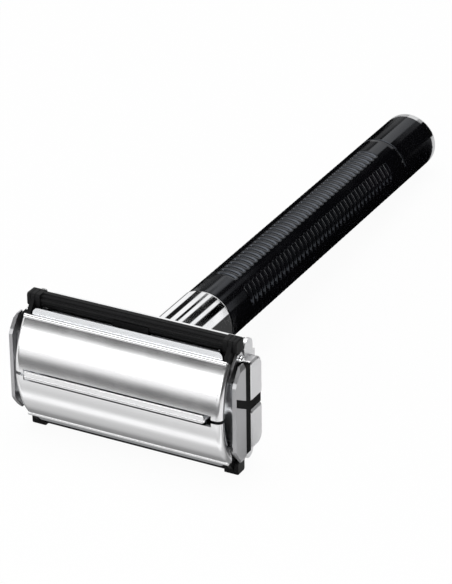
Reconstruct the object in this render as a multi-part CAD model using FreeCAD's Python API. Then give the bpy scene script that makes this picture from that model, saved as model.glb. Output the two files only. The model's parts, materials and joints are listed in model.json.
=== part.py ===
import FreeCAD, Part
import math
import os

# Twist-to-open safety razor. It is modelled upright, with the handle axis along Z, the head's length
# along X and the plane of the cutting edges at Z = 0, and it is laid down on its lower guard and knob
# when the pieces are written. All sizes are in millimetres.

# Double-edge blade
BLADE_EDGE_LENGTH = 37.3
BLADE_TAB_LENGTH = 2.85
BLADE_WIDTH = 22.1
BLADE_THICKNESS = 0.1
BLADE_TAB_WIDTH = 12.4
BLADE_CORNER = 1.0
BLADE_CROWN = 1.3
BLADE_SLOT_INSET = 0.2
BLADE_SLOT_WIDTH = 1.9
BLADE_HOLE_RADIUS = 2.4
BLADE_HOLE_SPACING = 20.6

# Platform, centre bar and studs that carry the blade
PLATFORM_YOKE_GAP = 0.4
PLATFORM_SETBACK = 1.65
PLATFORM_NECK_WIDTH = 11.6
PLATFORM_BOTTOM = -1.2
CENTRE_BAR_END_GAP = 0.15
CENTRE_BAR_SHORTER = 0.9
CENTRE_BAR_WIDTH = 1.55
CENTRE_BAR_PROUD = 0.2
CENTRE_BAR_GROOVE = 0.25
STUD_RADIUS = 2.2
STUD_HEIGHT = 1.0
PILLAR_RADIUS = 1.0
PILLAR_SPACING_X = 24.0
PILLAR_SPACING_Y = 14.0

# Doors
SEAM_TOP = 4.45
SEAM_GAP = 0.6
DOOR_WALL = 0.55
DOOR_OVERHANG = 0.65
DOOR_END_ROLL = 1.1
DOOR_END_DEPTH = 1.3
DOOR_OPEN_DEGREES = 55.0
RIM_SETBACK = 1.0
RIM_BEAD_RADIUS = 0.42
WINDOW_END_MARGIN = 0.2
WINDOW_MARGIN = 0.3
ARM_THICKNESS = 0.8
ARM_ROOT_LENGTH = 3.4
ARM_ROOT_DEPTH = 1.35

# Hinges and drive
PIVOT_OUTSET = 0.95
PIVOT_Z = -2.5
HINGE_PIN_RADIUS = 0.45
HINGE_PIN_GRIP = 2.0
PIN_CAP_THICKNESS = 0.75
PIN_CAP_SKIN = 0.25
PIN_CAP_INSET = 0.2
DRIVE_PIN_RADIUS = 0.4
DRIVE_PIN_BOSS = 0.7
FORK_WALL = 0.6
THREAD_LEAD = 2.0
KNOB_TURNS = 1.5
LIFTER_THICKNESS = 1.1
LIFTER_WIDTH = 9.0
YOKE_THICKNESS = 1.25
YOKE_WIDTH = 1.4

# Guards
GUARD_RADIUS = 1.41
GUARD_OUTSET = 0.52
GUARD_Z = -2.72
GUARD_GROOVE_RADIUS = 0.22
GUARD_GROOVE_STEP = 32.0
GUARD_GROOVES = 3
GUARD_BLOCK_OUTER = 1.95
GUARD_BLOCK_TOP = -1.1
GUARD_BLOCK_BOTTOM = -3.8
GUARD_BLOCK_WALL = 0.9
GUARD_BLOCK_FILLET = 0.5
GUARD_KEY_LENGTH = 7.0
GUARD_KEY_DEPTH = 0.8
GUARD_KEY_TOP = -1.3
GUARD_RIVET_RADIUS = 0.4
GUARD_RIVET_GRIP = 1.0
GUARD_RIVET_HEAD_RADIUS = 0.75
GUARD_RIVET_HEAD = 0.4
GUARD_RIVET_SPACING = 23.0
GUARD_RIVET_Z = -2.9

# Base plate and end pieces
BASE_THICKNESS = 1.4
BASE_SETBACK = 0.75
BASE_CORNER = 1.5
RAIL_YOKE_GAP = 0.6
RAIL_THICKNESS = 0.9
RAIL_TOP = -1.7
END_PLATE_THICKNESS = 0.55
END_PLATE_WAIST = 17.4
END_PLATE_SHOULDER_Z = -3.3
END_PLATE_SHOULDER_DROP = 0.9
HORN_TIP_SETBACK = 0.25
HORN_TIP_Z = -1.8
HORN_INNER = 6.9
LUG_RADIUS = 1.5
LUG_SETBACK = 1.4
LUG_Z = -5.7
END_CAP_WALL = 0.7
END_CAP_WIDTH = 18.6
END_CAP_LEDGE_WIDTH = 12.4
END_CAP_FOOT_TOP = 0.2
END_CAP_SHOULDER_WIDTH = 14.0
END_CAP_SHOULDER_Z = 2.0
END_CAP_TOP = 2.45
END_CAP_BOTTOM = -1.2
END_CAP_BEVEL_LENGTH = 0.8
END_CAP_BEVEL_DEPTH = 0.4
END_CAP_SLOT_WIDTH = 1.6
END_CAP_SLOT_Y = 3.3
END_CAP_SLOT_SLANT = 1.9
END_CAP_SLOT_DROP = 0.25
END_SEAL_SETBACK = 0.2
END_BLOCK_THICKNESS = 1.75
END_BLOCK_WIDTH = 7.6
END_BLOCK_GAP = 1.8
END_BLOCK_TOP = -3.2
END_BLOCK_BOTTOM = -7.4
END_BLOCK_BEVEL = 0.35
END_BLOCK_CORNER = 0.6
END_BLOCK_FAR_CORNER = 1.9
END_RIVET_RADIUS = 0.7
END_RIVET_HEIGHT = 0.8
END_RIVET_INSET = 1.1
END_RIVET_Z = -2.4

# Handle, neck and barrel
NECK_STAND = 0.25
NECK_LENGTH = 18.9
NECK_ROUND = 0.8
GRIP_RADIUS = 5.65
GRIP_LENGTH = 71.9
GRIP_ROUND = 0.3
SLEEVE_WALL = 1.65
BARREL_WALL = 1.4
BARREL_TAIL = 4.6
FLANGE_STAND = 0.6
FLANGE_HEIGHT = 1.0
FLANGE_ROUND = 0.33
ROD_RADIUS = 1.6
ROD_HEAD_RADIUS = 2.6
ROD_HEAD_HEIGHT = 0.6
ROD_HEAD_CLEARANCE = 0.4
ROD_REACH = 10.2

# Knob
KNOB_LENGTH = 12.3
KNOB_ROUND = 0.25
WASHER_THICKNESS = 0.2
WASHER_WIDTH = 0.9
RING_THICKNESS = 0.7
RING_DEPTH = 0.5
RING_STAND = 0.7
RING_DROP = 2.0
INSERT_LENGTH = 5.4
CAP_THICKNESS = 1.9
CAP_ROUND = 0.8
CAP_SPIGOT = 1.7

# Clearances
SEAT = 0.02
RUN = 0.06
SIDE = 0.1
FORK_PLAY = 0.1
ARM_SIDE_GAP = 0.15
OPEN = 0.3
AXIAL_PLAY = 0.05

# Sizes worked out from the values above
HALF_EDGE = BLADE_EDGE_LENGTH / 2
HALF_BLADE = BLADE_WIDTH / 2
HALF_LENGTH = HALF_EDGE + BLADE_TAB_LENGTH
HALF_SLOT = HALF_EDGE - BLADE_SLOT_INSET
BLADE_RADIUS = (HALF_BLADE ** 2 + BLADE_CROWN ** 2) / (2 * BLADE_CROWN)
BLADE_AXIS_Z = BLADE_CROWN - BLADE_RADIUS
ARM_INNER_X = HALF_EDGE + OPEN
ARM_OUTER_X = ARM_INNER_X + ARM_THICKNESS
DOOR_END_X = ARM_OUTER_X + DOOR_OVERHANG
END_PLATE_X = ARM_OUTER_X + ARM_SIDE_GAP
END_FACE_X = END_PLATE_X + END_PLATE_THICKNESS
END_CAP_X = HALF_LENGTH + SIDE
END_CAP_OUTER_X = END_CAP_X + END_CAP_WALL
END_SEAL_X = END_CAP_OUTER_X - END_SEAL_SETBACK
END_BLOCK_OUTER_X = END_FACE_X + END_BLOCK_THICKNESS
CENTRE_BAR_LEFT_X = HALF_SLOT - CENTRE_BAR_END_GAP
CENTRE_BAR_RIGHT_X = CENTRE_BAR_LEFT_X - CENTRE_BAR_SHORTER
CENTRE_BAR_TOP = SEAM_TOP + CENTRE_BAR_PROUD
WINDOW_HALF = CENTRE_BAR_LEFT_X + WINDOW_END_MARGIN
RIM_Y = HALF_BLADE - RIM_SETBACK
BEAD_Y = RIM_Y - RIM_BEAD_RADIUS
PIVOT_Y = HALF_BLADE + PIVOT_OUTSET
GUARD_Y = HALF_BLADE + GUARD_OUTSET
GUARD_INNER_Y = HALF_BLADE - BASE_SETBACK
GUARD_OUTER_Y = HALF_BLADE + GUARD_BLOCK_OUTER
LUG_Y = GUARD_OUTER_Y - LUG_SETBACK - LUG_RADIUS
LIFT = THREAD_LEAD * KNOB_TURNS
DRIVE_REACH = LIFT / 2 / math.tan(math.radians(DOOR_OPEN_DEGREES / 2))
DRIVE_Y = PIVOT_Y - DRIVE_REACH
DRIVE_Z = PIVOT_Z - LIFT / 2
YOKE_OUTER_X = ARM_INNER_X - OPEN
YOKE_INNER_X = YOKE_OUTER_X - YOKE_THICKNESS
BLOCK_OUTER_X = ARM_INNER_X - SIDE
BLOCK_INNER_X = BLOCK_OUTER_X - GUARD_BLOCK_WALL
PIN_CAP_X = ARM_OUTER_X + SIDE
PIN_CAP_END_X = PIN_CAP_X + PIN_CAP_THICKNESS
PIN_END_X = PIN_CAP_END_X - PIN_CAP_SKIN
PIN_CAP_INNER_Y = GUARD_INNER_Y + PIN_CAP_INSET
ROD_HEAD_TOP = PLATFORM_BOTTOM - ROD_HEAD_CLEARANCE - LIFT
LIFTER_TOP = ROD_HEAD_TOP - ROD_HEAD_HEIGHT
LIFTER_BOTTOM = LIFTER_TOP - LIFTER_THICKNESS
BASE_TOP = LIFTER_BOTTOM - OPEN
BASE_BOTTOM = BASE_TOP - BASE_THICKNESS
BARREL_RADIUS = GRIP_RADIUS - SLEEVE_WALL
BARREL_BORE = BARREL_RADIUS - BARREL_WALL
NECK_RADIUS = GRIP_RADIUS + NECK_STAND
FLANGE_RADIUS = NECK_RADIUS + FLANGE_STAND
NECK_START = BASE_BOTTOM - FLANGE_HEIGHT
NECK_END = NECK_START - NECK_LENGTH
GRIP_END = NECK_END - GRIP_LENGTH
WASHER_END = GRIP_END - WASHER_THICKNESS
KNOB_START = WASHER_END - AXIAL_PLAY
KNOB_END = KNOB_START - KNOB_LENGTH
BARREL_END = GRIP_END - BARREL_TAIL
INSERT_START = BARREL_END - OPEN
HANDLE_END = KNOB_END - CAP_THICKNESS


def vec(x, y, z):
    return FreeCAD.Vector(x, y, z)


def box(x0, x1, y0, y1, z0, z1):
    return Part.makeBox(x1 - x0, y1 - y0, z1 - z0, vec(x0, y0, z0))


def rod_z(radius, z_low, z_high, x=0.0, y=0.0):
    return Part.makeCylinder(radius, z_high - z_low, vec(x, y, z_low), vec(0, 0, 1))


def rod_x(radius, x_low, x_high, y, z):
    return Part.makeCylinder(radius, x_high - x_low, vec(x_low, y, z), vec(1, 0, 0))


def tube_z(outer, inner, z_low, z_high):
    return rod_z(outer, z_low, z_high).cut(rod_z(inner, z_low, z_high))


def plate_x(points, x_low, x_high):
    """A flat plate normal to X, from its outline as (y, z) corners."""
    corners = [vec(x_low, y, z) for y, z in points]
    outline = Part.makePolygon(corners + corners[:1])
    return Part.Face(outline).extrude(vec(x_high - x_low, 0, 0))


def mirrored(shape, across_x=False, across_y=False):
    if across_x:
        shape = shape.mirror(vec(0, 0, 0), vec(1, 0, 0))
    if across_y:
        shape = shape.mirror(vec(0, 0, 0), vec(0, 1, 0))
    return shape


def both_x(shape):
    return [shape, mirrored(shape, across_x=True)]


def both_y(shape):
    return [shape, mirrored(shape, across_y=True)]


def four_ways(shape):
    return [copy for half in both_x(shape) for copy in both_y(half)]


def group(shapes):
    return Part.makeCompound(shapes)


def round_edges(shape, radius, wanted):
    """Round those edges of a shape for which wanted(edge) is true."""
    return shape.makeFillet(radius, [edge for edge in shape.Edges if wanted(edge)])


def lies_at_x(edge, x):
    box_of_edge = edge.BoundBox
    return abs(box_of_edge.XMin - x) < SEAT and abs(box_of_edge.XMax - x) < SEAT


def lies_at_z(edge, z):
    box_of_edge = edge.BoundBox
    return abs(box_of_edge.ZMin - z) < SEAT and abs(box_of_edge.ZMax - z) < SEAT


def runs_along_z(edge):
    return edge.BoundBox.ZLength > SEAT and edge.BoundBox.XLength < SEAT and edge.BoundBox.YLength < SEAT


# Blade and what carries it

def blade_outline(z_low, z_high):
    """The blade's outline in plan, as an upright prism."""
    half_tab = BLADE_TAB_WIDTH / 2
    body = box(-HALF_EDGE, HALF_EDGE, -HALF_BLADE, HALF_BLADE, z_low, z_high)
    tab = box(-HALF_LENGTH, HALF_LENGTH, -half_tab, half_tab, z_low, z_high)
    body, tab = (round_edges(shape, BLADE_CORNER, runs_along_z) for shape in (body, tab))
    return body.fuse(tab)


def crowned(shape, rise):
    """What is left of a shape below the blade's curve, raised by rise."""
    return shape.common(rod_x(BLADE_RADIUS + rise, -HALF_LENGTH, HALF_LENGTH, 0, BLADE_AXIS_Z))


def make_blade():
    half = BLADE_THICKNESS / 2
    outline = blade_outline(-BLADE_CROWN, 2 * BLADE_CROWN)
    under = rod_x(BLADE_RADIUS - half, -HALF_LENGTH, HALF_LENGTH, 0, BLADE_AXIS_Z)
    sheet = crowned(outline, half).cut(under)
    slot = box(-HALF_SLOT, HALF_SLOT, -BLADE_SLOT_WIDTH / 2, BLADE_SLOT_WIDTH / 2, 0, 2 * BLADE_CROWN)
    holes = [rod_z(BLADE_HOLE_RADIUS, 0, 2 * BLADE_CROWN, x)
             for x in (-BLADE_HOLE_SPACING / 2, 0, BLADE_HOLE_SPACING / 2)]
    return sheet.cut(slot.multiFuse(holes)).removeSplitter()


def make_platform():
    half_length = YOKE_INNER_X - PLATFORM_YOKE_GAP
    half_width = HALF_BLADE - PLATFORM_SETBACK
    neck_length = END_PLATE_X - SEAT
    neck_width = PLATFORM_NECK_WIDTH / 2
    body = box(-half_length, half_length, -half_width, half_width, PLATFORM_BOTTOM, 2 * BLADE_CROWN)
    body = round_edges(body, BLADE_CORNER, runs_along_z)
    neck = box(-neck_length, neck_length, -neck_width, neck_width, PLATFORM_BOTTOM, 2 * BLADE_CROWN)
    platform = crowned(body.fuse(neck), -BLADE_THICKNESS / 2 - SEAT)
    slot_half = CENTRE_BAR_WIDTH / 2 + SEAT
    bar_slot = box(-CENTRE_BAR_LEFT_X - SEAT, CENTRE_BAR_RIGHT_X + SEAT, -slot_half, slot_half,
                   0, 2 * BLADE_CROWN)
    return platform.cut(bar_slot).removeSplitter()


def make_centre_bar():
    """The bar that stands in the doors' window, with a round right end and a groove beside its middle."""
    half_width = CENTRE_BAR_WIDTH / 2
    round_x = CENTRE_BAR_RIGHT_X - half_width
    bar = box(-CENTRE_BAR_LEFT_X, round_x, -half_width, half_width, SEAT, CENTRE_BAR_TOP)
    bar = bar.fuse(rod_z(half_width, SEAT, CENTRE_BAR_TOP, round_x)).removeSplitter()
    bar = round_edges(bar, CENTRE_BAR_GROOVE, lambda edge: lies_at_z(edge, CENTRE_BAR_TOP))
    groove = rod_x(CENTRE_BAR_GROOVE, -CENTRE_BAR_LEFT_X, CENTRE_BAR_RIGHT_X, -CENTRE_BAR_GROOVE,
                   CENTRE_BAR_TOP)
    return bar.cut(groove)


def make_blade_studs():
    """Two half-round studs on each side of the centre bar that fill the blade's end holes."""
    bottom = BLADE_CROWN - BLADE_THICKNESS / 2 - SEAT
    stud = rod_z(STUD_RADIUS, BLADE_CROWN / 2, bottom + STUD_HEIGHT, BLADE_HOLE_SPACING / 2)
    gap = CENTRE_BAR_WIDTH / 2 + SEAT
    stud = stud.cut(box(0, HALF_LENGTH, -gap, gap, 0, CENTRE_BAR_TOP))
    seat = crowned(box(-HALF_LENGTH, HALF_LENGTH, -HALF_BLADE, HALF_BLADE, -BLADE_CROWN, 2 * BLADE_CROWN),
                   -BLADE_THICKNESS / 2)
    return group(both_x(stud.cut(seat)))


def make_pillars():
    pillar = rod_z(PILLAR_RADIUS, BASE_TOP, PLATFORM_BOTTOM, PILLAR_SPACING_X / 2, PILLAR_SPACING_Y / 2)
    return group(four_ways(pillar))


# Doors

def dome_axis_z():
    """Height of the axis of the door's curve, from its level top to its rim."""
    drop = SEAM_TOP - rim_z() - RIM_BEAD_RADIUS / 2
    return SEAM_TOP - (BEAD_Y ** 2 + drop ** 2) / (2 * drop)


def rim_z():
    """Height of the rim bead's centre, just clear of the blade under it."""
    blade_top = BLADE_AXIS_Z + math.sqrt((BLADE_RADIUS + BLADE_THICKNESS / 2) ** 2 - BEAD_Y ** 2)
    return blade_top + SIDE + RIM_BEAD_RADIUS


def dome_block(depth, end_x):
    """The space under one door's curve, sunk by depth and cut off at end_x."""
    axis_z = dome_axis_z()
    radius = SEAM_TOP - axis_z - depth
    curve = rod_x(radius, -end_x, end_x, 0, axis_z)
    return curve.common(box(-end_x, end_x, SEAM_GAP / 2, BEAD_Y, -RIM_BEAD_RADIUS, 2 * SEAM_TOP))


def make_door():
    """The door on the +Y side, closed."""
    shell = dome_block(0, DOOR_END_X)
    shell = round_edges(shell, DOOR_END_ROLL,
                        lambda edge: is_arc(edge) and lies_at_x(edge, DOOR_END_X)
                        or is_arc(edge) and lies_at_x(edge, -DOOR_END_X))
    shell = shell.cut(dome_block(DOOR_WALL, DOOR_END_X - DOOR_WALL))
    shell = shell.cut(dome_block(DOOR_END_DEPTH, 2 * DOOR_END_X))
    over_blade = rod_x(BLADE_RADIUS + BLADE_THICKNESS / 2 + SIDE, -HALF_LENGTH, HALF_LENGTH, 0, BLADE_AXIS_Z)
    window = box(-WINDOW_HALF, WINDOW_HALF, 0, CENTRE_BAR_WIDTH / 2 + WINDOW_MARGIN, 0, 2 * SEAM_TOP)
    return shell.cut(over_blade).cut(window).fuse(rim_bead()).removeSplitter()


def rim_bead():
    end_x = DOOR_END_X - DOOR_WALL
    return rod_x(RIM_BEAD_RADIUS, -end_x, end_x, BEAD_Y, rim_z())


def make_door_arms():
    """The +Y door's two hinge arms: from under its rim to the hinge pin, and on to the drive pin's fork."""
    eye = box(ARM_INNER_X, ARM_OUTER_X, PIN_CAP_INNER_Y, GUARD_OUTER_Y, GUARD_BLOCK_BOTTOM, GUARD_BLOCK_TOP)
    eye = round_edges(eye, GUARD_BLOCK_FILLET, lambda edge: edge.BoundBox.XLength > SEAT)
    inner_radius = SEAM_TOP - dome_axis_z() - DOOR_WALL
    root_y = BEAD_Y - ARM_ROOT_LENGTH
    root_z = dome_axis_z() + math.sqrt(inner_radius ** 2 - root_y ** 2)
    bead_step = RIM_BEAD_RADIUS * math.sqrt(0.5)
    link = plate_x([(root_y, root_z),
                    (root_y, root_z - ARM_ROOT_DEPTH),
                    (PIN_CAP_INNER_Y, PIVOT_Z),
                    (PIVOT_Y, GUARD_BLOCK_TOP),
                    (BEAD_Y + bead_step, rim_z() - bead_step),
                    (BEAD_Y, rim_z())], ARM_INNER_X, ARM_OUTER_X)
    under_dome = rod_x(inner_radius, ARM_INNER_X, ARM_OUTER_X, 0, dome_axis_z())
    link = link.common(under_dome.fuse(box(ARM_INNER_X, ARM_OUTER_X, BEAD_Y, PIVOT_Y, PIVOT_Z, rim_z())))
    fork, slot = drive_fork()
    hole = rod_x(HINGE_PIN_RADIUS + RUN, ARM_INNER_X, ARM_OUTER_X, PIVOT_Y, PIVOT_Z)
    arm = eye.multiFuse([link.cut(rim_bead()), fork]).cut(slot).cut(hole)
    return group(both_x(arm.removeSplitter()))


def drive_fork():
    """The fork's body and its slot, turned half of the door's swing below the level."""
    slot_half = DRIVE_PIN_RADIUS + FORK_PLAY
    fork_half = slot_half + FORK_WALL
    reach = math.hypot(DRIVE_REACH, LIFT / 2) + slot_half
    fork = box(ARM_INNER_X, ARM_OUTER_X, PIVOT_Y - reach, PIVOT_Y, PIVOT_Z - fork_half, PIVOT_Z + fork_half)
    slot = box(ARM_INNER_X, ARM_OUTER_X, PIVOT_Y - 2 * reach, PIVOT_Y - DRIVE_REACH + slot_half,
               PIVOT_Z - slot_half, PIVOT_Z + slot_half)
    for part in (fork, slot):
        part.rotate(vec(ARM_INNER_X, PIVOT_Y, PIVOT_Z), vec(1, 0, 0), DOOR_OPEN_DEGREES / 2)
    return fork, slot


def is_arc(edge):
    return edge.Curve.TypeId == "Part::GeomCircle"


# Hinge pins, lifter and its drive

def make_hinge_pins():
    pin = rod_x(HINGE_PIN_RADIUS, BLOCK_INNER_X - HINGE_PIN_GRIP, PIN_END_X, PIVOT_Y, PIVOT_Z)
    return group(both_x(pin))


def make_pin_caps():
    """The caps that keep the +Y door's arms on their hinge pins."""
    cap = box(PIN_CAP_X, PIN_CAP_END_X, PIN_CAP_INNER_Y, GUARD_OUTER_Y, GUARD_BLOCK_BOTTOM, GUARD_BLOCK_TOP)
    cap = round_edges(cap, GUARD_BLOCK_FILLET, lambda edge: edge.BoundBox.XLength > SEAT)
    cap = round_edges(cap, GUARD_BLOCK_FILLET / 2, lambda edge: lies_at_x(edge, PIN_CAP_END_X))
    hole = rod_x(HINGE_PIN_RADIUS + SEAT, PIN_CAP_X, PIN_END_X + SEAT, PIVOT_Y, PIVOT_Z)
    return group(both_x(cap.cut(hole)))


def make_lifter():
    half = LIFTER_WIDTH / 2
    plate = box(-YOKE_OUTER_X, YOKE_OUTER_X, -half, half, LIFTER_BOTTOM, LIFTER_TOP)
    arm_y = DRIVE_Y + DRIVE_PIN_BOSS
    cross = box(YOKE_INNER_X, YOKE_OUTER_X, -arm_y, arm_y, LIFTER_BOTTOM, LIFTER_TOP)
    post = box(YOKE_INNER_X, YOKE_OUTER_X, arm_y - YOKE_WIDTH, arm_y, LIFTER_BOTTOM, DRIVE_Z)
    boss = rod_x(DRIVE_PIN_BOSS, YOKE_INNER_X, YOKE_OUTER_X, DRIVE_Y, DRIVE_Z)
    hole = rod_x(DRIVE_PIN_RADIUS + SEAT, YOKE_INNER_X, YOKE_OUTER_X, DRIVE_Y, DRIVE_Z)
    yokes = both_x(cross) + four_ways(post) + four_ways(boss)
    body = plate.multiFuse(yokes).removeSplitter()
    rod_hole = rod_z(ROD_RADIUS + SEAT, LIFTER_BOTTOM, LIFTER_TOP)
    return body.cut(group(four_ways(hole) + [rod_hole]))


def make_drive_pins():
    pin = rod_x(DRIVE_PIN_RADIUS, YOKE_INNER_X, ARM_OUTER_X, DRIVE_Y, DRIVE_Z)
    return group(four_ways(pin))


def make_lifter_rod():
    return rod_z(ROD_RADIUS, BARREL_END - ROD_REACH + BARREL_TAIL, LIFTER_TOP)


def make_rod_head():
    head = rod_z(ROD_HEAD_RADIUS, LIFTER_TOP, ROD_HEAD_TOP)
    return round_edges(head, ROD_HEAD_HEIGHT / 2, lambda edge: lies_at_z(edge, ROD_HEAD_TOP))


# Guards

def make_guard():
    """The guard on the +Y side: a grooved round bar, flat towards the rail, with a key and two end blocks."""
    bar = rod_x(GUARD_RADIUS, -BLOCK_INNER_X, BLOCK_INNER_X, GUARD_Y, GUARD_Z)
    bar = bar.common(box(-HALF_LENGTH, HALF_LENGTH, GUARD_INNER_Y, 2 * GUARD_Y, 2 * GUARD_Z, 0))
    grooves = []
    for step in range(GUARD_GROOVES):
        angle = math.radians(90 - GUARD_GROOVE_STEP * step)
        y = GUARD_Y + GUARD_RADIUS * math.cos(angle)
        z = GUARD_Z + GUARD_RADIUS * math.sin(angle)
        grooves.append(rod_x(GUARD_GROOVE_RADIUS, -BLOCK_INNER_X, BLOCK_INNER_X, y, z))
    bar = bar.cut(group(grooves))
    block = box(BLOCK_INNER_X, BLOCK_OUTER_X, GUARD_INNER_Y, GUARD_OUTER_Y,
                GUARD_BLOCK_BOTTOM, GUARD_BLOCK_TOP)
    block = round_edges(block, GUARD_BLOCK_FILLET, lambda edge: edge.BoundBox.XLength > SEAT)
    hole = rod_x(HINGE_PIN_RADIUS + SEAT, BLOCK_INNER_X - HINGE_PIN_GRIP, BLOCK_OUTER_X, PIVOT_Y, PIVOT_Z)
    guard = bar.multiFuse(both_x(block) + [guard_key(0)]).cut(group(both_x(hole) + both_x(rivet_shank(SEAT))))
    return guard.removeSplitter()


def guard_key(margin):
    """The key in the middle of the guard that fills a notch in the rail, grown by a margin."""
    half = GUARD_KEY_LENGTH / 2 + margin
    return box(-half, half, GUARD_INNER_Y - GUARD_KEY_DEPTH - margin, GUARD_Y, GUARD_Z - margin,
               GUARD_KEY_TOP + margin)


def rivet_shank(margin):
    """A rivet's shank through the rail into the guard, grown by a margin."""
    start = vec(GUARD_RIVET_SPACING / 2, GUARD_INNER_Y - RAIL_THICKNESS, GUARD_RIVET_Z)
    length = RAIL_THICKNESS + GUARD_RIVET_GRIP
    return Part.makeCylinder(GUARD_RIVET_RADIUS + margin, length, start, vec(0, 1, 0))


def make_guard_rivets():
    """The rivets that hold the guard on the +Y rail, with their heads inside the rail."""
    head_y = GUARD_INNER_Y - RAIL_THICKNESS - GUARD_RIVET_HEAD
    start = vec(GUARD_RIVET_SPACING / 2, head_y, GUARD_RIVET_Z)
    head = Part.makeCylinder(GUARD_RIVET_HEAD_RADIUS, GUARD_RIVET_HEAD, start, vec(0, 1, 0))
    head = round_edges(head, GUARD_RIVET_HEAD / 2,
                       lambda edge: edge.BoundBox.YMax < head_y + SEAT)
    return group(both_x(head.fuse(rivet_shank(0)).removeSplitter()))


# Base plate and end pieces

def make_rail():
    """The rail on the +Y side of the base plate, notched for the guard's key and bored for its rivets."""
    half = YOKE_INNER_X - RAIL_YOKE_GAP
    rail = box(-half, half, GUARD_INNER_Y - RAIL_THICKNESS, GUARD_INNER_Y, BASE_TOP, RAIL_TOP)
    return rail.cut(group([guard_key(SEAT)] + both_x(rivet_shank(SEAT))))


def make_base_plate():
    plate = box(-END_PLATE_X, END_PLATE_X, -GUARD_INNER_Y, GUARD_INNER_Y, BASE_BOTTOM, BASE_TOP)
    plate = round_edges(plate, BASE_CORNER, runs_along_z)
    plate = plate.multiFuse(both_y(make_rail())).removeSplitter()
    return plate.cut(rod_z(BARREL_RADIUS + SEAT, BASE_BOTTOM, BASE_TOP))


def make_end_plate():
    """The +X end plate: a waist behind the satin blocks, two lugs, and horns under the doors' ends."""
    waist = END_PLATE_WAIST / 2
    tip_y = GUARD_INNER_Y - HORN_TIP_SETBACK + SIDE
    radius = SEAM_TOP - dome_axis_z() - DOOR_END_DEPTH - SIDE
    horn_z = dome_axis_z() + math.sqrt(radius ** 2 - HORN_INNER ** 2)
    tab_y = BLADE_TAB_WIDTH / 2 + OPEN
    tab_z = under_blade(tab_y) - SIDE
    half = [(tab_y, tab_z),
            (HORN_INNER, horn_z),
            (tip_y, HORN_TIP_Z),
            (tip_y, END_PLATE_SHOULDER_Z),
            (waist, END_PLATE_SHOULDER_Z - END_PLATE_SHOULDER_DROP),
            (waist, BASE_BOTTOM)]
    plate = plate_x(half + [(-y, z) for y, z in reversed(half)], END_PLATE_X, END_FACE_X)
    lug = rod_x(LUG_RADIUS, END_PLATE_X, END_FACE_X, LUG_Y, LUG_Z)
    web = box(END_PLATE_X, END_FACE_X, 0, LUG_Y, LUG_Z - LUG_RADIUS, LUG_Z + LUG_RADIUS)
    return plate.multiFuse(both_y(lug) + both_y(web)).removeSplitter()


def under_blade(y):
    """Height of the blade's underside at a distance y from its middle."""
    return BLADE_AXIS_Z + math.sqrt((BLADE_RADIUS - BLADE_THICKNESS / 2) ** 2 - y ** 2)


def make_end_cap():
    """The +X wall past the blade's tab, with sloping shoulders, on a ledge that meets the end plate."""
    half = END_CAP_WIDTH / 2
    ledge_half = END_CAP_LEDGE_WIDTH / 2
    side = [(half, END_CAP_BOTTOM),
            (half, END_CAP_FOOT_TOP),
            (END_CAP_SHOULDER_WIDTH / 2, END_CAP_SHOULDER_Z),
            (ledge_half, END_CAP_TOP)]
    wall = plate_x(side + [(-y, z) for y, z in reversed(side)], END_CAP_X, END_CAP_OUTER_X)
    corners = [vec(END_CAP_OUTER_X, half - END_CAP_BEVEL_LENGTH, END_CAP_BOTTOM),
               vec(END_CAP_OUTER_X, half, END_CAP_BOTTOM),
               vec(END_CAP_OUTER_X - END_CAP_BEVEL_DEPTH, half, END_CAP_BOTTOM)]
    bevel_foot = Part.Face(Part.makePolygon(corners + corners[:1]))
    bevel = bevel_foot.extrude(vec(0, 0, END_CAP_TOP - END_CAP_BOTTOM))
    ledge_top = under_blade(ledge_half) - SIDE
    ledge = box(END_FACE_X, END_CAP_X, -ledge_half, ledge_half, END_CAP_BOTTOM, ledge_top)
    return wall.fuse(ledge).cut(group(both_y(bevel) + [cap_tongue(SEAT, END_CAP_OUTER_X)])).removeSplitter()


def cap_tongue(margin, outer_x):
    """The slanted tongue in the outer half of the end cap's wall, grown sideways by a margin."""
    top_z = END_CAP_TOP - END_CAP_SLOT_DROP
    half = END_CAP_SLOT_WIDTH / 2 + margin
    middle = END_CAP_SLOT_Y
    foot = END_CAP_SLOT_Y - END_CAP_SLOT_SLANT
    return plate_x([(middle - half, top_z + margin), (middle + half, top_z + margin),
                    (foot + half, END_CAP_BOTTOM), (foot - half, END_CAP_BOTTOM)],
                   END_CAP_X + END_CAP_WALL / 2, outer_x)


def make_end_seal():
    """The black strip past the end cap, with a tongue up the cap and a filler between the satin blocks."""
    wide = END_BLOCK_WIDTH + END_BLOCK_GAP / 2
    gap = END_BLOCK_GAP / 2
    strip = box(END_FACE_X, END_SEAL_X, -wide, wide, END_BLOCK_TOP, END_CAP_BOTTOM)
    filler = box(END_FACE_X, END_BLOCK_OUTER_X - END_BLOCK_BEVEL, -gap, gap, END_BLOCK_BOTTOM, END_BLOCK_TOP)
    return strip.multiFuse([filler, cap_tongue(0, END_SEAL_X)]).removeSplitter()


def make_end_blocks():
    """The two satin blocks on the +X end plate, bevelled round their outer faces."""
    near = END_BLOCK_GAP / 2
    far = near + END_BLOCK_WIDTH
    block = box(END_FACE_X, END_BLOCK_OUTER_X, near, far, END_BLOCK_BOTTOM, END_BLOCK_TOP)
    block = round_edges(block, END_BLOCK_FAR_CORNER,
                        lambda edge: lies_at_z(edge, END_BLOCK_BOTTOM) and edge.BoundBox.YMin > far - SEAT)
    block = round_edges(block, END_BLOCK_CORNER,
                        lambda edge: is_square_corner(edge, (near, far), (END_BLOCK_TOP, END_BLOCK_BOTTOM)))
    outer_edges = [edge for edge in block.Edges if lies_at_x(edge, END_BLOCK_OUTER_X)]
    return group(both_y(block.makeChamfer(END_BLOCK_BEVEL, outer_edges)))


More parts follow.
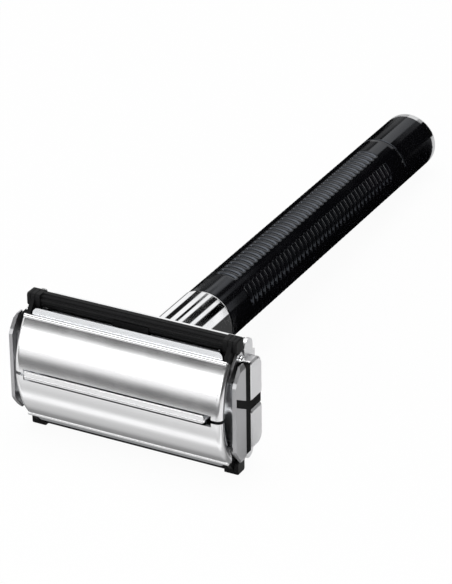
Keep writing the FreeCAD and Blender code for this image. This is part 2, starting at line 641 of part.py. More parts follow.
def is_square_corner(edge, sides, levels):
    """True for an edge along X that stands at one of the sides (in y) and one of the levels (in z)."""
    spot = edge.BoundBox.Center
    at_side = min(abs(spot.y - side) for side in sides) < SEAT
    at_level = min(abs(spot.z - level) for level in levels) < SEAT
    return edge.BoundBox.XLength > SEAT and at_side and at_level


def make_end_rivets():
    outer_x = END_FACE_X + END_RIVET_HEIGHT
    rivet = rod_x(END_RIVET_RADIUS, END_FACE_X, outer_x, GUARD_INNER_Y - END_RIVET_INSET, END_RIVET_Z)
    rivet = round_edges(rivet, END_RIVET_HEIGHT / 2, lambda edge: lies_at_x(edge, outer_x))
    return group(both_y(rivet))


# Neck, grip and barrel

def make_neck():
    neck = tube_z(NECK_RADIUS, BARREL_RADIUS + SEAT, NECK_END, NECK_START)
    outer_rim = NECK_RADIUS - SEAT
    return round_edges(neck, NECK_ROUND,
                       lambda edge: lies_at_z(edge, NECK_END) and edge.BoundBox.XMax > outer_rim)


def make_grip():
    grip = tube_z(GRIP_RADIUS, BARREL_RADIUS + SEAT, GRIP_END, NECK_END)
    outer_rim = GRIP_RADIUS - SEAT
    return round_edges(grip, GRIP_ROUND,
                       lambda edge: lies_at_z(edge, GRIP_END) and edge.BoundBox.XMax > outer_rim)


def ring_z_high():
    return GRIP_END - RING_DROP


def make_barrel():
    """The steel tube that the neck, grip and knob are threaded over."""
    tube = tube_z(BARREL_RADIUS, BARREL_BORE, BARREL_END, BASE_TOP)
    groove = tube_z(2 * BARREL_RADIUS, BARREL_RADIUS - RING_DEPTH,
                    ring_z_high() - RING_THICKNESS, ring_z_high())
    return tube.cut(groove)


def make_neck_flange():
    """The ring between the neck and the base plate."""
    ring = tube_z(FLANGE_RADIUS, BARREL_RADIUS + SEAT, NECK_START, BASE_BOTTOM)
    outer_rim = FLANGE_RADIUS - SEAT
    return round_edges(ring, FLANGE_ROUND,
                       lambda edge: lies_at_z(edge, NECK_START) and edge.BoundBox.XMax > outer_rim)


def make_retaining_ring():
    inner = BARREL_RADIUS - RING_DEPTH + SEAT
    outer = BARREL_RADIUS + RING_STAND
    return tube_z(outer, inner, ring_z_high() - RING_THICKNESS, ring_z_high())


def make_washer():
    return tube_z(BARREL_RADIUS + SEAT + WASHER_WIDTH, BARREL_RADIUS + SEAT, WASHER_END, GRIP_END)


# Knob

def make_knob_sleeve():
    """The smooth turning end of the handle, bored to run on the barrel and over its retaining ring."""
    sleeve = rod_z(GRIP_RADIUS, KNOB_END, KNOB_START)
    sleeve = round_edges(sleeve, KNOB_ROUND, lambda edge: lies_at_z(edge, KNOB_START))
    running_bore = rod_z(BARREL_RADIUS + RUN, INSERT_START, KNOB_START)
    ring_space = rod_z(BARREL_RADIUS + RING_STAND + RUN,
                       ring_z_high() - RING_THICKNESS - AXIAL_PLAY, ring_z_high() + AXIAL_PLAY)
    seat_bore = rod_z(BARREL_RADIUS + SEAT, KNOB_END, INSERT_START)
    return sleeve.cut(running_bore).cut(ring_space).cut(seat_bore)


def make_thread_insert():
    return tube_z(BARREL_RADIUS, ROD_RADIUS + RUN, INSERT_START - INSERT_LENGTH, INSERT_START)


def make_knob_cap():
    disc = rod_z(GRIP_RADIUS, HANDLE_END, KNOB_END)
    disc = round_edges(disc, CAP_ROUND, lambda edge: lies_at_z(edge, HANDLE_END))
    spigot = rod_z(BARREL_RADIUS, KNOB_END, KNOB_END + CAP_SPIGOT)
    return disc.fuse(spigot).removeSplitter()


def make_pieces():
    """Every node by name, upright."""
    side_makers = {"door": make_door, "door_arms": make_door_arms, "guard": make_guard,
                   "guard_rivets": make_guard_rivets,
                   "hinge_pins": make_hinge_pins, "pin_caps": make_pin_caps}
    end_makers = {"end_plate": make_end_plate, "end_cap": make_end_cap, "end_seal": make_end_seal,
                  "end_blocks": make_end_blocks, "end_rivets": make_end_rivets}
    pieces = {"grip_sleeve": make_grip(), "barrel_tube": make_barrel(), "neck_collar": make_neck(),
              "base_plate": make_base_plate(), "neck_flange": make_neck_flange(),
              "blade_platform": make_platform(), "platform_pillars": make_pillars(),
              "centre_bar": make_centre_bar(), "blade_studs": make_blade_studs(), "blade": make_blade(),
              "lifter_plate": make_lifter(), "lifter_rod": make_lifter_rod(), "rod_head": make_rod_head(),
              "drive_pins": make_drive_pins(), "friction_washer": make_washer(),
              "retaining_ring": make_retaining_ring(), "knob_sleeve": make_knob_sleeve(),
              "thread_insert": make_thread_insert(), "knob_end_cap": make_knob_cap()}
    for name, maker in side_makers.items():
        shape = maker()
        pieces[name + "_upper"] = shape
        pieces[name + "_lower"] = mirrored(shape, across_y=True)
    for name, maker in end_makers.items():
        shape = maker()
        pieces[name + "_right"] = shape
        pieces[name + "_left"] = mirrored(shape, across_x=True)
    return pieces


def lay_down(pieces):
    """The placement that lays the razor on its lower guard and knob, over the centre of its base."""
    fall = math.atan2(GUARD_OUTER_Y - GRIP_RADIUS, GUARD_BLOCK_BOTTOM / 2 + GUARD_BLOCK_TOP / 2 - KNOB_END)
    turn = FreeCAD.Rotation(vec(1, 0, 0), 90 - math.degrees(fall))
    laid = [placed(shape, FreeCAD.Placement(vec(0, 0, 0), turn)) for shape in pieces.values()]
    bounds = group(laid).optimalBoundingBox(False, False)
    shift = vec(-bounds.Center.x, -bounds.Center.y, -bounds.ZMin)
    return FreeCAD.Placement(shift, turn)


def placed(shape, placement):
    copy = shape.copy()
    copy.Placement = placement.multiply(copy.Placement)
    return copy


def main():
    os.makedirs("parts", exist_ok=True)
    pieces = make_pieces()
    placement = lay_down(pieces)
    for name, shape in pieces.items():
        placed(shape, placement).exportStep("parts/" + name + ".step")
    print("pieces", len(pieces))
    for name, point in (("origin", vec(0, 0, 0)), ("upper pivot", vec(0, PIVOT_Y, PIVOT_Z)),
                        ("lower pivot", vec(0, -PIVOT_Y, PIVOT_Z)), ("handle end", vec(0, 0, HANDLE_END)),
                        ("knob cylinder", vec(0, 0, (KNOB_START - KNOB_ROUND + HANDLE_END + CAP_ROUND) / 2)),
                        ("neck middle", vec(0, 0, (NECK_START + NECK_END) / 2))):
        spot = placement.multVec(point)
        print(name, round(spot.x, 6), round(spot.y, 6), round(spot.z, 6))
    up = placement.Rotation.multVec(vec(0, 0, 1))
    print("handle axis", up.x, up.y, up.z)
    print("knob cylinder length", KNOB_START - KNOB_ROUND - HANDLE_END - CAP_ROUND)
    print("lift", LIFT, "turns", KNOB_TURNS, "open", DOOR_OPEN_DEGREES)


main()
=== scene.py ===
import json
import math

import bpy
import numpy as np
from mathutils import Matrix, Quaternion, Vector


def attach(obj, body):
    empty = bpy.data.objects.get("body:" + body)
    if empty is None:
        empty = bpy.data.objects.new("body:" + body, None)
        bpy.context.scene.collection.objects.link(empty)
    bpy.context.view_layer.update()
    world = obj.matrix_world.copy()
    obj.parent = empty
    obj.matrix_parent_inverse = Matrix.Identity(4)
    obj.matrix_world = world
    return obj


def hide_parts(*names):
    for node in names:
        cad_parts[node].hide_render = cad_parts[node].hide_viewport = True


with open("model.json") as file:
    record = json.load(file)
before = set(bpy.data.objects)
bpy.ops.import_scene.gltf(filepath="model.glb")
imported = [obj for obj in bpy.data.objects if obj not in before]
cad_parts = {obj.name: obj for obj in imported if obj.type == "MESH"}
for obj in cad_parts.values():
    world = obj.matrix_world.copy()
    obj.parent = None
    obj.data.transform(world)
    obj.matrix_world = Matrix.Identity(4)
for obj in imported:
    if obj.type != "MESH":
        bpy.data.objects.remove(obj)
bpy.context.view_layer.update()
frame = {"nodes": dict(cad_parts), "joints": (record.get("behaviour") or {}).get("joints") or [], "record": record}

# Looks of a twist-to-open safety razor that lies on its lower guard and its knob. Pieces are worked out in
# the razor's own millimetres: x along the head, y across it, z along the handle towards the head, with the
# plane of the cutting edges at z = 0. laid() puts them into the row frame in metres. Degrees round the handle
# start at x and turn towards y. A brightness of 1 is plain white.

joints = {joint["name"]: joint for joint in frame["joints"]}

MM = 0.001
PIVOT_SINK = 2.5
HANDLE_AXIS = np.array(joints["lifter_slide"]["axis"])
HEAD_AXIS = np.array([1.0, 0.0, 0.0])
ACROSS_AXIS = np.cross(HANDLE_AXIS, HEAD_AXIS)
UPPER_HINGE = np.array(joints["door_upper_swing"]["pos_m"])
LOWER_HINGE = np.array(joints["door_lower_swing"]["pos_m"])
HEAD_ORIGIN = (UPPER_HINGE + LOWER_HINGE) / 2 + PIVOT_SINK * MM * HANDLE_AXIS


def laid(points):
    """Points in the razor's own millimetres, as an (n, 3) array, put into the row frame in metres."""
    return HEAD_ORIGIN + MM * (points @ np.stack([HEAD_AXIS, ACROSS_AXIS, HANDLE_AXIS]))


# Meshes

SHARP_DEGREES = 38.0


def grid_faces(rows, columns):
    """Corner numbers of the squares of a grid closed both ways, whose points are numbered row by row."""
    row = np.arange(rows)[:, None]
    column = np.arange(columns)[None, :]
    next_row = (row + 1) % rows
    next_column = (column + 1) % columns
    corners = [row * columns + column, next_row * columns + column,
               next_row * columns + next_column, row * columns + next_column]
    return np.stack([corner.ravel() for corner in corners], axis=1)


def signed_volume(points, faces):
    """Six times the volume inside a closed mesh of squares, negative where its faces point inwards."""
    a, b, c, d = (points[faces[:, corner]] for corner in range(4))
    return np.sum(np.cross(a, b) * c) + np.sum(np.cross(a, c) * d)


def mesh_piece(name, points, faces, material):
    """A smooth mesh object from row-frame points and squares, turned outwards."""
    if signed_volume(points, faces) < 0:
        faces = faces[:, ::-1]
    mesh = bpy.data.meshes.new(name)
    mesh.from_pydata(points.tolist(), [], faces.tolist())
    mesh.polygons.foreach_set("use_smooth", np.ones(len(faces), dtype=bool))
    mesh.set_sharp_from_angle(angle=math.radians(SHARP_DEGREES))
    mesh.materials.append(material)
    mesh.update()
    piece = bpy.data.objects.new(name, mesh)
    bpy.context.scene.collection.objects.link(piece)
    return piece


def place(piece, body, slot, *nodes):
    """Say which body a piece moves with and the nodes that it stands for; its slot in the record is not used."""
    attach(piece, body)
    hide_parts(*nodes)


# Shader helpers

WHITE = (1.0, 1.0, 1.0, 1.0)
MIX_FACTOR, MIX_FIRST, MIX_SECOND, MIX_RESULT = 0, 6, 7, 2


def add_node(tree, kind, settings=None, inputs=None):
    """A node with its own settings, and with inputs set to plain values or joined to sockets."""
    node = tree.nodes.new(kind)
    for name, value in (settings or {}).items():
        setattr(node, name, value)
    for name, value in (inputs or {}).items():
        if isinstance(value, bpy.types.NodeSocket):
            tree.links.new(value, node.inputs[name])
        else:
            node.inputs[name].default_value = value
    return node


def calculate(tree, operation, *values):
    """The result of one Math node on plain values or sockets."""
    return add_node(tree, "ShaderNodeMath", {"operation": operation}, dict(enumerate(values))).outputs[0]


def noise(tree, vector, scale, **inputs):
    node = add_node(tree, "ShaderNodeTexNoise", {}, {"Vector": vector, "Scale": scale, **inputs})
    return node.outputs["Fac"]


def map_range(tree, value, low, high, new_low, new_high):
    node = add_node(tree, "ShaderNodeMapRange", {"clamp": True},
                    {"Value": value, "From Min": low, "From Max": high,
                     "To Min": new_low, "To Max": new_high})
    return node.outputs["Result"]


def blend_colours(tree, factor, first, second):
    node = add_node(tree, "ShaderNodeMix", {"data_type": "RGBA"},
                    {MIX_FACTOR: factor, MIX_FIRST: (*first, 1.0), MIX_SECOND: (*second, 1.0)})
    return node.outputs[MIX_RESULT]


def new_group(name, inputs, outputs):
    """An empty shader group with named inputs and outputs, and its two end nodes."""
    group = bpy.data.node_groups.new(name, "ShaderNodeTree")
    for socket, kind in inputs:
        group.interface.new_socket(name=socket, in_out="INPUT", socket_type=kind)
    for socket, kind in outputs:
        group.interface.new_socket(name=socket, in_out="OUTPUT", socket_type=kind)
    return group, group.nodes.new("NodeGroupInput"), group.nodes.new("NodeGroupOutput")


# Shared effects

FINE_LINE_SHARE = 0.65
COARSE_LINE_SHARE = 0.35
COARSE_LINE_SCALE = 0.23
NOISE_MEAN = 0.5
SMUDGE_SCALE = 180.0
SMUDGE_FROM, SMUDGE_TO = 0.35, 0.7
HAIRLINE_SCALE = 320.0
HAIRLINE_TURN = (0.4, 0.7, 0.9)
HAIRLINE_STRETCH = (1.0, 9.0, 3.0)
HAIRLINE_WIDTH = 0.012


def brushed_group():
    """Fine parallel lines: two noises on coordinates that are stretched along the lines."""
    group, start, end = new_group("brushed_lines",
                                  [("Vector", "NodeSocketVector"), ("Scale", "NodeSocketFloat")],
                                  [("Mask", "NodeSocketFloat")])
    vector, scale = start.outputs["Vector"], start.outputs["Scale"]
    fine = noise(group, vector, scale, Detail=3.0, Roughness=0.6)
    coarse = noise(group, vector, calculate(group, "MULTIPLY", scale, COARSE_LINE_SCALE), Detail=1.0)
    coarse_part = calculate(group, "MULTIPLY", coarse, COARSE_LINE_SHARE)
    both = calculate(group, "MULTIPLY_ADD", fine, FINE_LINE_SHARE, coarse_part)
    group.links.new(both, end.inputs["Mask"])
    return group


def handling_group():
    """Faint marks of use: soft smudges from a low noise, and hairlines where a stretched noise crosses its
    mean."""
    group, start, end = new_group("handling_marks", [("Vector", "NodeSocketVector")],
                                  [("Smudge", "NodeSocketFloat"), ("Hairline", "NodeSocketFloat")])
    vector = start.outputs["Vector"]
    smudge = noise(group, vector, SMUDGE_SCALE, Detail=4.0, Roughness=0.55)
    turned = add_node(group, "ShaderNodeMapping", {},
                      {"Vector": vector, "Rotation": HAIRLINE_TURN, "Scale": HAIRLINE_STRETCH})
    lines = noise(group, turned.outputs["Vector"], HAIRLINE_SCALE, Detail=1.0, Distortion=0.4)
    distance = calculate(group, "ABSOLUTE", calculate(group, "SUBTRACT", lines, NOISE_MEAN))
    group.links.new(map_range(group, smudge, SMUDGE_FROM, SMUDGE_TO, 0.0, 1.0), end.inputs["Smudge"])
    group.links.new(map_range(group, distance, 0.0, HAIRLINE_WIDTH, 1.0, 0.0), end.inputs["Hairline"])
    return group


def speckle_group():
    """Fine grain of moulded or blasted surfaces, as a height."""
    group, start, end = new_group("fine_speckle",
                                  [("Vector", "NodeSocketVector"), ("Scale", "NodeSocketFloat")],
                                  [("Height", "NodeSocketFloat")])
    grain = noise(group, start.outputs["Vector"], start.outputs["Scale"], Detail=2.0)
    group.links.new(grain, end.inputs["Height"])
    return group


BRUSHED = brushed_group()
HANDLING = handling_group()
SPECKLE = speckle_group()


def group_node(tree, group, **inputs):
    return add_node(tree, "ShaderNodeGroup", {"node_tree": group}, inputs).outputs


# Finishes

LINE_FROM, LINE_TO = 0.3, 0.7
LINE_BUMP = 0.5
BLAST_BUMP = 0.4
BLAST_DEPTH_MM = 0.01
MOULD_BUMP = 0.3
SMUDGE_DULLING = 0.05
HAIRLINE_DULLING = 0.03


def start_material(name, metallic, **plain):
    """A material with a Principled BSDF, and the object coordinates that its patterns read."""
    material = bpy.data.materials.new(name)
    material.use_nodes = True
    tree = material.node_tree
    shader = tree.nodes["Principled BSDF"]
    shader.inputs["Metallic"].default_value = metallic
    for socket, value in plain.items():
        shader.inputs[socket.replace("_", " ")].default_value = value
    coordinates = tree.nodes.new("ShaderNodeTexCoord").outputs["Object"]
    return material, tree, shader, coordinates


def bump(tree, shader, height, strength, depth_mm):
    node = add_node(tree, "ShaderNodeBump", {},
                    {"Height": height, "Strength": strength, "Distance": depth_mm * MM})
    tree.links.new(node.outputs["Normal"], shader.inputs["Normal"])


def brushed_metal(name, dark, light, smooth, rough, stretch, depth_mm):
    """Metal with fine parallel lines: colour, roughness and a shallow bump all follow the lines."""
    material, tree, shader, coordinates = start_material(name, 1.0)
    along = add_node(tree, "ShaderNodeMapping", {}, {"Vector": coordinates, "Scale": stretch})
    lines = group_node(tree, BRUSHED, Vector=along.outputs["Vector"], Scale=1.0)["Mask"]
    smudge = group_node(tree, HANDLING, Vector=coordinates)["Smudge"]
    tree.links.new(blend_colours(tree, lines, dark, light), shader.inputs["Base Color"])
    grain_roughness = map_range(tree, lines, LINE_FROM, LINE_TO, rough, smooth)
    worn = calculate(tree, "MULTIPLY_ADD", smudge, SMUDGE_DULLING, grain_roughness)
    tree.links.new(worn, shader.inputs["Roughness"])
    bump(tree, shader, lines, LINE_BUMP, depth_mm)
    return material


def bright_plate(name, colour, worn_colour, polish, haze):
    """Polished plate: a mirror with faint smudges and a few hairlines."""
    material, tree, shader, coordinates = start_material(name, 1.0)
    marks = group_node(tree, HANDLING, Vector=coordinates)
    tree.links.new(blend_colours(tree, marks["Smudge"], colour, worn_colour), shader.inputs["Base Color"])
    smudged = map_range(tree, marks["Smudge"], 0.0, 1.0, polish, haze)
    scored = calculate(tree, "MULTIPLY_ADD", marks["Hairline"], HAIRLINE_DULLING, smudged)
    tree.links.new(scored, shader.inputs["Roughness"])
    return material


def blasted_metal(name, dark, light, smooth, rough, grain_scale):
    """Satin metal: a fine speckled grain moves its colour and height, and smudges polish it."""
    material, tree, shader, coordinates = start_material(name, 1.0)
    grain = group_node(tree, SPECKLE, Vector=coordinates, Scale=grain_scale)["Height"]
    smudge = group_node(tree, HANDLING, Vector=coordinates)["Smudge"]
    tree.links.new(blend_colours(tree, grain, dark, light), shader.inputs["Base Color"])
    tree.links.new(map_range(tree, smudge, 0.0, 1.0, rough, smooth), shader.inputs["Roughness"])
    bump(tree, shader, grain, BLAST_BUMP, BLAST_DEPTH_MM)
    return material


def moulded_plastic(name, dark, light, smooth, rough, grain_scale, grain_mm, **plain):
    """Moulded plastic: a little colour variation over a fine grain, and smudges that dull it."""
    material, tree, shader, coordinates = start_material(name, 0.0, **plain)
    smudge = group_node(tree, HANDLING, Vector=coordinates)["Smudge"]
    grain = group_node(tree, SPECKLE, Vector=coordinates, Scale=grain_scale)["Height"]
    tree.links.new(blend_colours(tree, grain, dark, light), shader.inputs["Base Color"])
    tree.links.new(map_range(tree, smudge, 0.0, 1.0, smooth, rough), shader.inputs["Roughness"])
    bump(tree, shader, grain, MOULD_BUMP, grain_mm)
    return material


ALONG_HEAD = (60.0, 4200.0, 4200.0)
ALONG_HANDLE = (4200.0, 60.0, 4200.0)
BLAST_SCALE = 9000.0
GUARD_GRAIN_SCALE = 7000.0
GRIP_GRAIN_SCALE = 3000.0

materials = {
    "door_steel": brushed_metal("brushed_door_steel", (0.79, 0.79, 0.8), (0.88, 0.88, 0.885), 0.15, 0.21,
                                ALONG_HEAD, 0.0006),
    "blade_steel": brushed_metal("ground_blade_steel", (0.74, 0.76, 0.78), (0.86, 0.87, 0.89), 0.16, 0.26,
                                 ALONG_HEAD, 0.001),
    "works_steel": brushed_metal("turned_works_steel", (0.5, 0.5, 0.52), (0.68, 0.68, 0.7), 0.24, 0.38,
                                 ALONG_HANDLE, 0.002),
    "chrome": bright_plate("chrome_plate", (0.93, 0.93, 0.94), (0.86, 0.87, 0.88), 0.035, 0.09),
    "brass": bright_plate("turned_brass", (0.8, 0.58, 0.26), (0.66, 0.46, 0.2), 0.18, 0.3),
    "satin_steel": blasted_metal("satin_block_steel", (0.7, 0.7, 0.71), (0.8, 0.8, 0.81), 0.3, 0.42,
                                 BLAST_SCALE),
    "guard_black": moulded_plastic("charcoal_guard_plastic", (0.004, 0.004, 0.0043), (0.010, 0.010, 0.0105),
                                   0.36, 0.52, GUARD_GRAIN_SCALE, 0.02, Specular_IOR_Level=0.12),
    "grip_black": moulded_plastic("gloss_black_plastic", (0.0012, 0.0012, 0.0016), (0.0026, 0.0026, 0.0034),
                                  0.09, 0.16, GRIP_GRAIN_SCALE, 0.001, Specular_Tint=(0.8, 0.87, 1.0, 1.0)),
}
# Painted shade: the end seals between the satin end blocks get a near-black finish that hardly reflects. It stands
# in for the dark band where the blocks' faces turn away and mirror dark.
end_strip_painted_shade = moulded_plastic("black_end_strip_painted_shade", (0.0015, 0.0015, 0.0016), (0.004, 0.004, 0.0043),
                               0.5, 0.65, GUARD_GRAIN_SCALE, 0.01, Specular_IOR_Level=0.04)
cap_steel = blasted_metal("grey_cap_steel", (0.4, 0.4, 0.41), (0.5, 0.5, 0.51), 0.3, 0.42, BLAST_SCALE)
own_finishes = {"end_seal_left": end_strip_painted_shade, "end_seal_right": end_strip_painted_shade,
                "end_cap_left": cap_steel, "end_cap_right": cap_steel,
                "centre_bar": materials["door_steel"]}

subpart_slots = {part["node"]: part["material_slot"] for part in frame["record"]["subparts"]}
for node_name, node_object in frame["nodes"].items():
    node_object.data.materials.clear()
    node_object.data.materials.append(own_finishes.get(node_name, materials[subpart_slots[node_name]]))


# Grip with panels of fine ribs

GRIP_RADIUS = 5.65
GRIP_BORE = 4.02
GRIP_TOP = -27.9
GRIP_LENGTH = 71.9
GRIP_ROUND = 0.12
RIB_TOP = -34.1
RIB_PITCH = 1.565
RIB_COUNT = 39
RIB_DEPTH = 0.42
PANEL_COUNT = 6
PANEL_TURN = math.radians(26.5)
PANEL_HALF = math.radians(20.0)
PANEL_SQUARENESS = 8
STEPS_ROUND = 216
STEPS_PER_RIB = 8
PLAIN_POINTS = 6
ROUND_POINTS = 5


def rib_depth(angle, height):
    """How far the grip is cut in, inside six panels: round ridges in a row, each the top of an ellipse."""
    step = 2 * math.pi / PANEL_COUNT
    off_centre = (angle - PANEL_TURN + step / 2) % step - step / 2
    inside = np.sqrt(np.clip(1 - (np.abs(off_centre) / PANEL_HALF) ** PANEL_SQUARENESS, 0, 1))
    along = (RIB_TOP - height) / RIB_PITCH
    from_groove = np.abs(along - np.round(along)) * 2
    groove = 1 - np.sqrt(np.clip(1 - (1 - from_groove) ** 2, 0, 1))
    groove = np.where((along > 0.5) & (along < RIB_COUNT - 0.5), groove, 0)
    return RIB_DEPTH * inside * groove


def build_grip():
    """A tube turned round the handle axis from one closed outline, whose outer side is cut by rib_depth."""
    bottom = GRIP_TOP - GRIP_LENGTH
    ribs = RIB_TOP - RIB_PITCH * np.linspace(0, RIB_COUNT, RIB_COUNT * STEPS_PER_RIB + 1)
    outer = np.concatenate([np.linspace(GRIP_TOP, RIB_TOP, PLAIN_POINTS)[:-1], ribs,
                            np.linspace(ribs[-1], bottom + GRIP_ROUND, PLAIN_POINTS)[1:]])
    turn = np.linspace(0, math.pi / 2, ROUND_POINTS)[1:]
    round_radius = GRIP_RADIUS - GRIP_ROUND + GRIP_ROUND * np.cos(turn)
    round_height = bottom + GRIP_ROUND - GRIP_ROUND * np.sin(turn)
    radius = np.concatenate([np.full(len(outer), GRIP_RADIUS), round_radius, [GRIP_BORE, GRIP_BORE]])
    height = np.concatenate([outer, round_height, [bottom, GRIP_TOP]])
    angle = np.linspace(0, 2 * math.pi, STEPS_ROUND, endpoint=False)[:, None]
    cut = np.where(radius == GRIP_RADIUS, rib_depth(angle, height[None, :]), 0)
    reach = radius[None, :] - cut
    points = np.stack([reach * np.cos(angle), reach * np.sin(angle),
                       np.broadcast_to(height, reach.shape)], axis=2)
    faces = grid_faces(len(angle), len(height))
    return mesh_piece("ribbed_grip", laid(points.reshape(-1, 3)), faces, materials["grip_black"])


place(build_grip(), "frame", "grip_black", "grip_sleeve")


# Camera place

CAMERA_AZIMUTH = math.radians(29.39)
CAMERA_ELEVATION = math.radians(30.64)
CAMERA_ROLL = math.radians(-2.86)
CAMERA_DISTANCE = 0.6064
CAMERA_LENS = 201.6
CAMERA_SENSOR = 36.0
CAMERA_CLIP = (0.05, 20.0)
CAMERA_AIM = Vector(HEAD_ORIGIN) + Vector((-0.00668, 0.04774, -0.00863))
TOWARDS_CAMERA = Vector((math.sin(CAMERA_AZIMUTH) * math.cos(CAMERA_ELEVATION),
                         -math.cos(CAMERA_AZIMUTH) * math.cos(CAMERA_ELEVATION), math.sin(CAMERA_ELEVATION)))
CAMERA_SPOT = CAMERA_AIM + CAMERA_DISTANCE * TOWARDS_CAMERA


# Floor

FLOOR_HALF = 2.0
FLOOR_COLOUR = (0.86, 0.86, 0.86, 1.0)
FLOOR_SEEN_WHITE = 0.95
FLOOR_MIRRORED_WHITE = 0.25


def empty_material(name):
    """A material without nodes, its tree, and the surface socket of its new output."""
    material = bpy.data.materials.new(name)
    material.use_nodes = True
    tree = material.node_tree
    tree.nodes.clear()
    return material, tree, tree.nodes.new("ShaderNodeOutputMaterial").inputs["Surface"]


def stage_quads(name, rows, material):
    """A stage object: a strip of squares between neighbouring rows, each row a left and a right corner."""
    points = [tuple(corner) for row in rows for corner in row]
    faces = [(2 * row, 2 * row + 1, 2 * row + 3, 2 * row + 2) for row in range(len(rows) - 1)]
    mesh = bpy.data.meshes.new(name)
    mesh.from_pydata(points, [], faces)
    mesh.materials.append(material)
    strip = bpy.data.objects.new(name, mesh)
    bpy.context.scene.collection.objects.link(strip)
    return strip


def floor_material():
    """A pale matt floor, lifted towards white where the camera or a gloss sees it, and clear from beneath."""
    material, tree, surface = empty_material("pale_floor")
    matt = add_node(tree, "ShaderNodeBsdfDiffuse", {}, {"Color": FLOOR_COLOUR})
    white = add_node(tree, "ShaderNodeEmission", {}, {"Color": WHITE, "Strength": 1.0})
    ray = tree.nodes.new("ShaderNodeLightPath").outputs
    mirrored = calculate(tree, "MAXIMUM", ray["Is Glossy Ray"], ray["Is Transmission Ray"])
    lifted = calculate(tree, "MULTIPLY", mirrored, FLOOR_MIRRORED_WHITE)
    share = calculate(tree, "MULTIPLY_ADD", ray["Is Camera Ray"], FLOOR_SEEN_WHITE, lifted)
    seen = add_node(tree, "ShaderNodeMixShader", {}, {0: share, 1: matt.outputs[0], 2: white.outputs[0]})
    clear = tree.nodes.new("ShaderNodeBsdfTransparent")
    facing = tree.nodes.new("ShaderNodeNewGeometry")
    both = add_node(tree, "ShaderNodeMixShader", {},
                    {0: facing.outputs["Backfacing"], 1: seen.outputs[0], 2: clear.outputs[0]})
    tree.links.new(both.outputs[0], surface)
    return material


stage_quads("floor", [((-FLOOR_HALF, -FLOOR_HALF, 0), (FLOOR_HALF, -FLOOR_HALF, 0)),
                      ((-FLOOR_HALF, FLOOR_HALF, 0), (FLOOR_HALF, FLOOR_HALF, 0))], floor_material())


# Cards that only gloss and metal see

CARD_HEIGHT = 0.0004
CROWN_HEIGHT = 4.5
HEAD_FRONT = HEAD_ORIGIN + CROWN_HEIGHT * MM * HANDLE_AXIS
SIDE_SLIP = -0.466
HEAD_CARD_HALF = 2.0
CARD_SPAN = (-60.0, 150.0)
CARD_STEP = 0.5
STRIPE_EDGE = 1.5


def card_material():
    """Plain light whose strength is stored with the card's corners."""
    material, tree, surface = empty_material("graded_card")
    level = add_node(tree, "ShaderNodeAttribute", {"attribute_type": "GEOMETRY", "attribute_name": "level"})
    glow = add_node(tree, "ShaderNodeEmission", {}, {"Color": WHITE, "Strength": level.outputs["Fac"]})
    tree.links.new(glow.outputs[0], surface)
    return material


CARD_MATERIAL = card_material()


def graded_card(name, rows, levels):
    """A card with a brightness for each row that blends between rows."""
    card = stage_quads(name, rows, CARD_MATERIAL)
    stored = card.data.attributes.new("level", "FLOAT", "POINT")
    stored.data.foreach_set("value", np.repeat(np.array(levels, dtype=np.float32), 2))
    card.visible_camera = False
    card.visible_diffuse = False
    card.visible_transmission = False
    card.visible_shadow = False


def head_card(name, steps, reach):
    """A curved card in front of the head, from (degrees above the level, brightness) steps. It slips sideways
    as it goes out, as the sight line does that the doors turn back."""
    rows = []
    for degrees, level in steps:
        across, up = math.cos(math.radians(degrees)), math.sin(math.radians(degrees))
        y, z = HEAD_FRONT[1] - reach * across, HEAD_FRONT[2] + reach * up
        rows.append([((SIDE_SLIP + side) * reach, y, z) for side in (-HEAD_CARD_HALF, HEAD_CARD_HALF)])
    graded_card(name, rows, [level for degrees, level in steps])


def mirrored_spot(degrees, radius, height, reach):
    """Where the sight line goes that meets the handle at this angle and height: turned about the surface's
    own direction, and followed for the reach or until just over the floor."""
    turn = math.radians(degrees)
    outward = math.cos(turn) * HEAD_AXIS + math.sin(turn) * ACROSS_AXIS
    spot = laid(np.array([radius * math.cos(turn), radius * math.sin(turn), height]))
    sight = np.array(CAMERA_SPOT) - spot
    sight /= np.linalg.norm(sight)
    away = 2 * (sight @ outward) * outward - sight
    to_floor = (spot[2] - CARD_HEIGHT) / -away[2] if away[2] < 0 else reach
    return spot + min(reach, to_floor) * away


def handle_card(name, stripes, ground, radius, top, bottom, reach):
    """A card that the handle mirrors between two heights: (from, to, brightness) stripes in degrees round the
    handle, with soft edges, on an even ground."""
    knots, values = [CARD_SPAN[0]], [ground]
    for start, end, level in stripes:
        knots += [start - STRIPE_EDGE, start, end, end + STRIPE_EDGE]
        values += [ground, level, level, ground]
    degrees = np.arange(*CARD_SPAN, CARD_STEP)
    levels = np.interp(degrees, knots + [CARD_SPAN[1]], values + [ground])
    rows = [tuple(tuple(mirrored_spot(angle, radius, height, reach)) for height in (top, bottom))
            for angle in degrees]
    graded_card(name, rows, levels)


def floor_card(name, steps, left, right):
    """A card just over the floor, from (y, brightness) steps in millimetres."""
    rows = [((left * MM, y * MM, CARD_HEIGHT), (right * MM, y * MM, CARD_HEIGHT)) for y, level in steps]
    graded_card(name, rows, [level for y, level in steps])


OVER_BAND = [(34, 1.0), (38, 0.55), (43, 0.08), (64, 0.03), (68, 0.4)]
LOW_BAND = [(-20, 0.2), (-6, 0.16), (1, 0.3), (6, 1.0)]
BEFORE_HEAD = [(-80, 1.05), (-68, 0.66), (-66, 0.72), (-64.2, 1.25), (-62.8, 1.2), (-61, 0.65),
               (-58.6, 0.6), (-57, 0.25), (-54, 0.3)]
head_card("over_band", OVER_BAND, 0.3)
head_card("low_band", LOW_BAND, 0.045)
floor_card("before_head", BEFORE_HEAD, -60, 40)

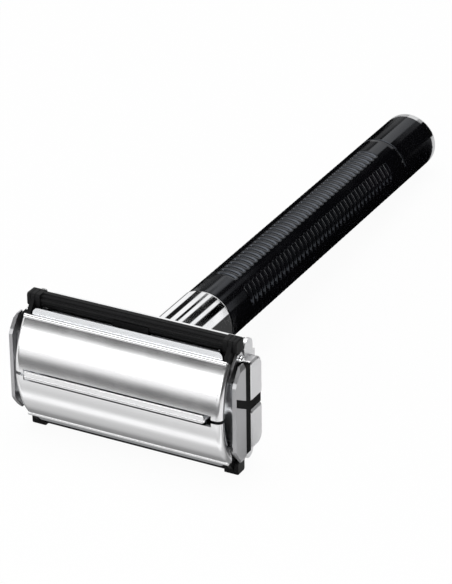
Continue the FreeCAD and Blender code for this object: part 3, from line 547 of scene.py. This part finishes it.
NECK_RADIUS = 5.9
NECK_TOP = -9.0
GRIP_FOOT = -112.35
FAR_END = -200.0
NECK_REACH = 0.25
GRIP_REACH = 0.27
NECK_STRIPES = [(-24, 27, 0.05), (42, 52, 0.0), (60, 70, 0.01), (78, 81.5, 0.0), (92, 102, 0.01),
                (118, 122, 0.2), (136, 148, 0.12)]
GRIP_STRIPES = [(-57, -39, 0.9), (69, 88, 0.85), (94, 104, 0.2), (128, 148, 0.08)]
END_RING_STRIPES = [(24, 57, 0.003)]
handle_card("neck_stripes", NECK_STRIPES, 1.0, NECK_RADIUS, NECK_TOP, GRIP_TOP, NECK_REACH)
handle_card("grip_stripes", GRIP_STRIPES, 0.003, GRIP_RADIUS, GRIP_TOP, GRIP_FOOT, GRIP_REACH)
handle_card("end_ring_stripe", END_RING_STRIPES, 0.6, GRIP_RADIUS, GRIP_FOOT, FAR_END, GRIP_REACH)

WALL_X = 0.25
WALL_Y = (-0.45, 0.3)
WALL_Z = (0.001, 0.35)
WALL_LEVEL = 0.06
graded_card("right_wall", [[(WALL_X, y, z) for y in WALL_Y] for z in WALL_Z], [WALL_LEVEL, WALL_LEVEL])

CAP_NEAR_X, CAP_FAR_X = 24 * MM, 42 * MM
CAP_NEAR_Y, CAP_FAR_Y = (-54 * MM, -48 * MM), (-24 * MM, -18 * MM)
CAP_LEVEL = 0.32
graded_card("beside_cap", [[(CAP_NEAR_X, y, CARD_HEIGHT) for y in CAP_NEAR_Y],
                           [(CAP_FAR_X, y, CARD_HEIGHT) for y in CAP_FAR_Y]], [CAP_LEVEL, CAP_LEVEL])


# Lamps and room

ROOM_LIGHT = 0.55


def softbox(name, centre, aim, width, height, radiance):
    """An area lamp of the given brightness that faces its aim."""
    lamp = bpy.data.lights.new(name, "AREA")
    lamp.shape = "RECTANGLE"
    lamp.size = width
    lamp.size_y = height
    lamp.energy = radiance * math.pi * width * height
    holder = bpy.data.objects.new(name, lamp)
    holder.location = centre
    holder.rotation_mode = "QUATERNION"
    holder.rotation_quaternion = (Vector(centre) - Vector(aim)).to_track_quat("Z", "Y")
    holder.visible_camera = False
    bpy.context.scene.collection.objects.link(holder)


def studio_world():
    """A dim room that lights matt surfaces, and a white one for every other ray."""
    world = bpy.data.worlds.new("studio")
    world.use_nodes = True
    tree = world.node_tree
    tree.nodes.clear()
    room = add_node(tree, "ShaderNodeBackground", {}, {"Color": WHITE, "Strength": ROOM_LIGHT})
    backdrop = add_node(tree, "ShaderNodeBackground", {}, {"Color": WHITE, "Strength": 1.0})
    ray = tree.nodes.new("ShaderNodeLightPath").outputs
    not_diffuse = calculate(tree, "SUBTRACT", 1.0, ray["Is Diffuse Ray"])
    mixed = add_node(tree, "ShaderNodeMixShader", {},
                     {0: not_diffuse, 1: room.outputs[0], 2: backdrop.outputs[0]})
    output = tree.nodes.new("ShaderNodeOutputWorld")
    tree.links.new(mixed.outputs[0], output.inputs["Surface"])
    return world


softbox("front_softbox", centre=(-0.14, -0.375, 0.16), aim=(-0.14, -0.055, 0.013),
        width=1.0, height=0.17, radiance=1.5)
softbox("overhead_softbox", centre=(-0.05, 0.05, 0.6), aim=(0.0, 0.0, 0.0),
        width=0.46, height=0.46, radiance=2.6)

scene = bpy.context.scene
scene.world = studio_world()
scene.view_settings.view_transform = "Standard"


# Camera

lens = bpy.data.cameras.new("camera")
lens.lens = CAMERA_LENS
lens.sensor_width = CAMERA_SENSOR
lens.clip_start, lens.clip_end = CAMERA_CLIP
camera = bpy.data.objects.new("camera", lens)
camera.location = CAMERA_SPOT
camera.rotation_mode = "QUATERNION"
camera.rotation_quaternion = (-TOWARDS_CAMERA).to_track_quat("-Z", "Y") @ Quaternion((0, 0, 1), CAMERA_ROLL)
scene.collection.objects.link(camera)
scene.camera = camera
